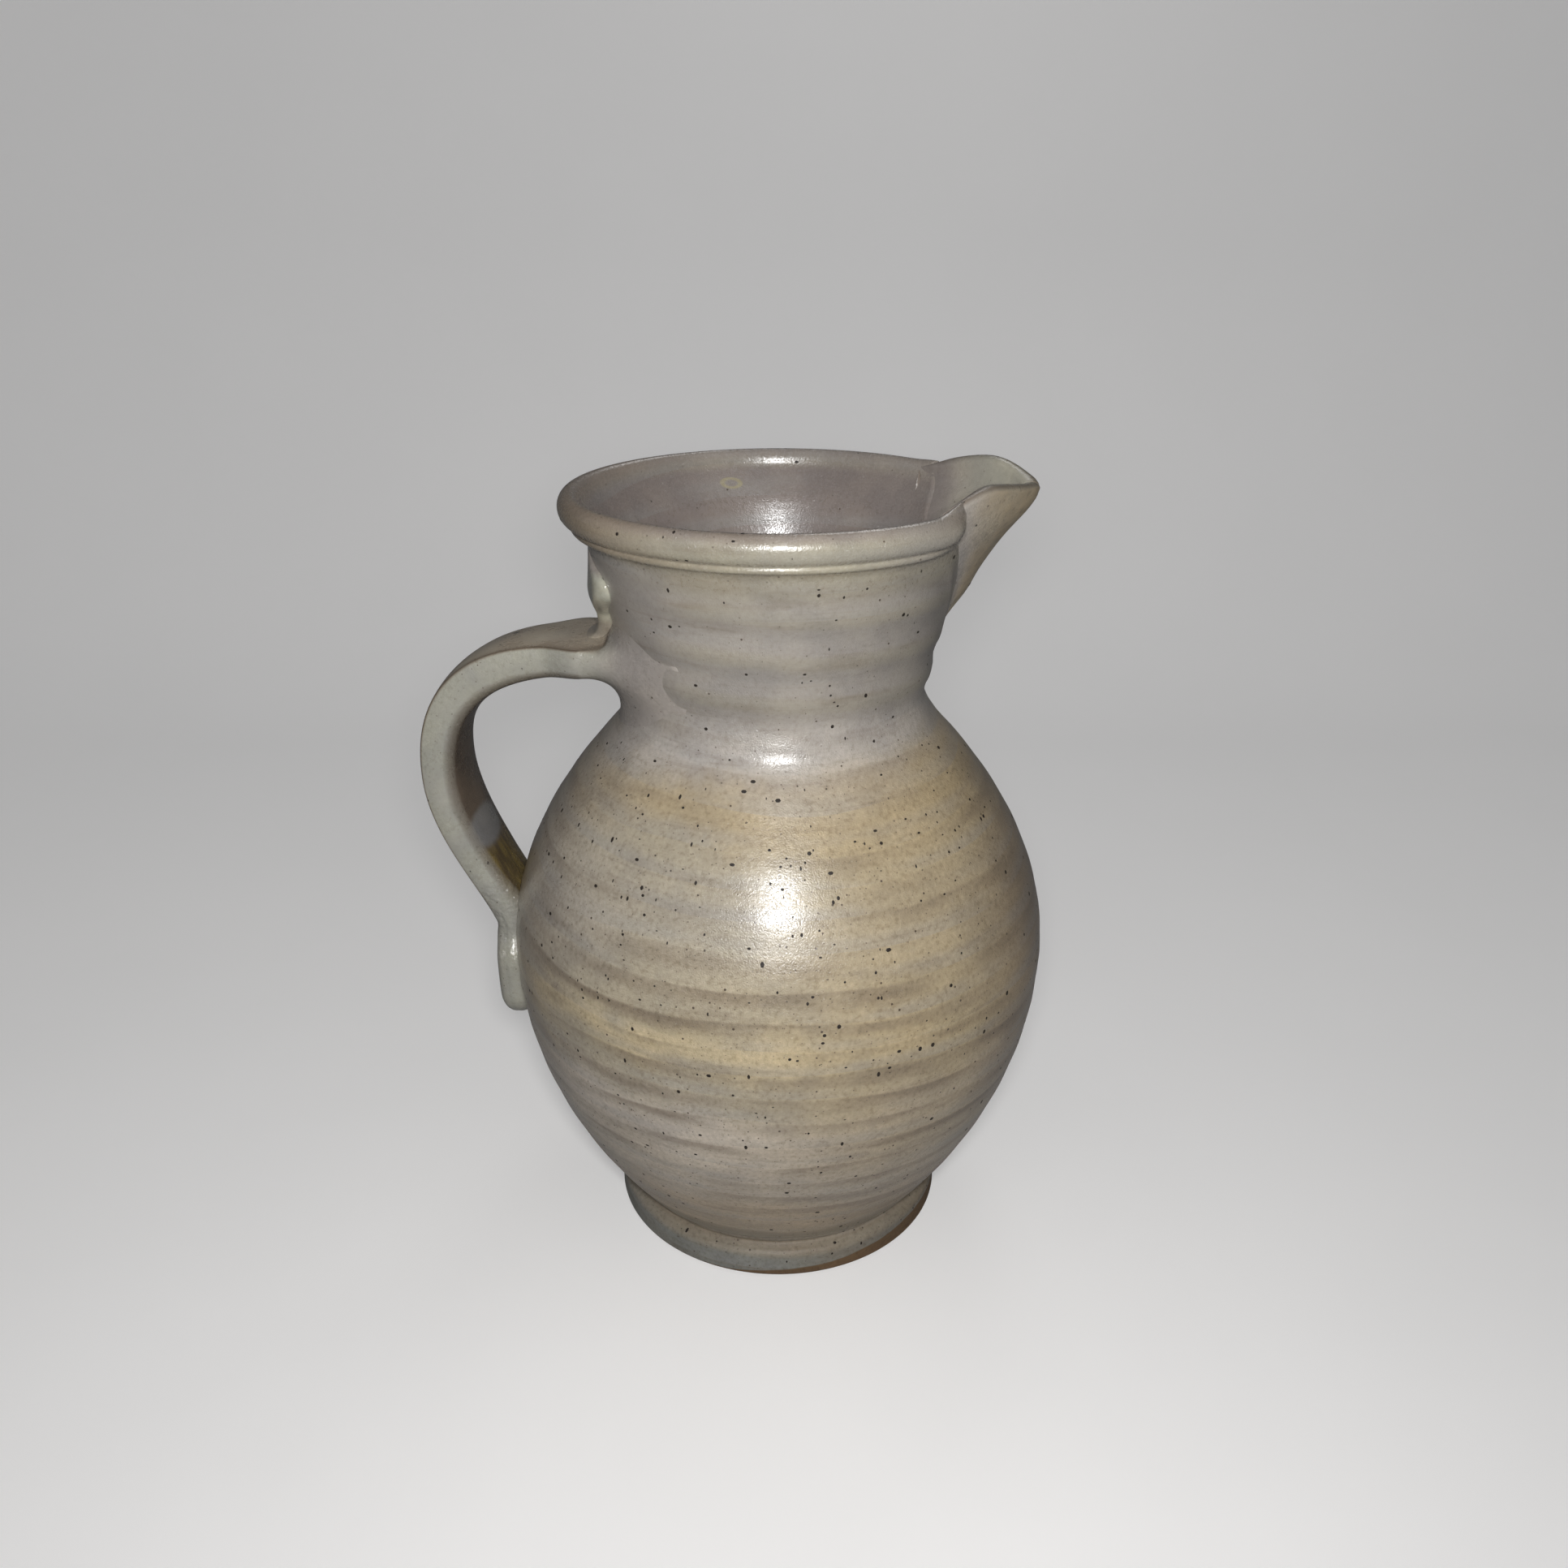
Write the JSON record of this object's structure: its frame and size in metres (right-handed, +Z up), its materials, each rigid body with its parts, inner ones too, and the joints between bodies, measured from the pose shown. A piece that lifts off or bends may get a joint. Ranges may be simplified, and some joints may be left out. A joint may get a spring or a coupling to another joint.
{
  "type": "stoneware pitcher",
  "caption": "Thrown stoneware pitcher with a round belly, flared neck, beaded rim, applied pouring beak, pulled strap handle and thumb lug.",
  "frame": {"origin": "where the jug's axis meets the surface that it stands on", "axes": "+Z up along the jug's axis, +X towards the beak, -X towards the handle"},
  "size_m": [0.2, 0.1748, 0.2548],
  "materials": {
    "body_glaze": "satin grey-tan ash glaze with iron specks, thin and brown on the throwing rings, bare clay at the foot's lower edge",
    "beak_glaze": "the same satin speckled glaze, tan outside and pale grey-green in the channel",
    "handle_glaze": "the same glaze, pale green-grey on the sides, tan on the outer face, olive-brown where it is thin",
    "lug_glaze": "the same glaze, pale and glossy where it is thick"
  },
  "bodies": {
    "root": {"thrown_body": "body_glaze", "beak_spout": "beak_glaze", "strap_handle": "handle_glaze", "handle_lug": "lug_glaze"}
  },
  "joints": []
}
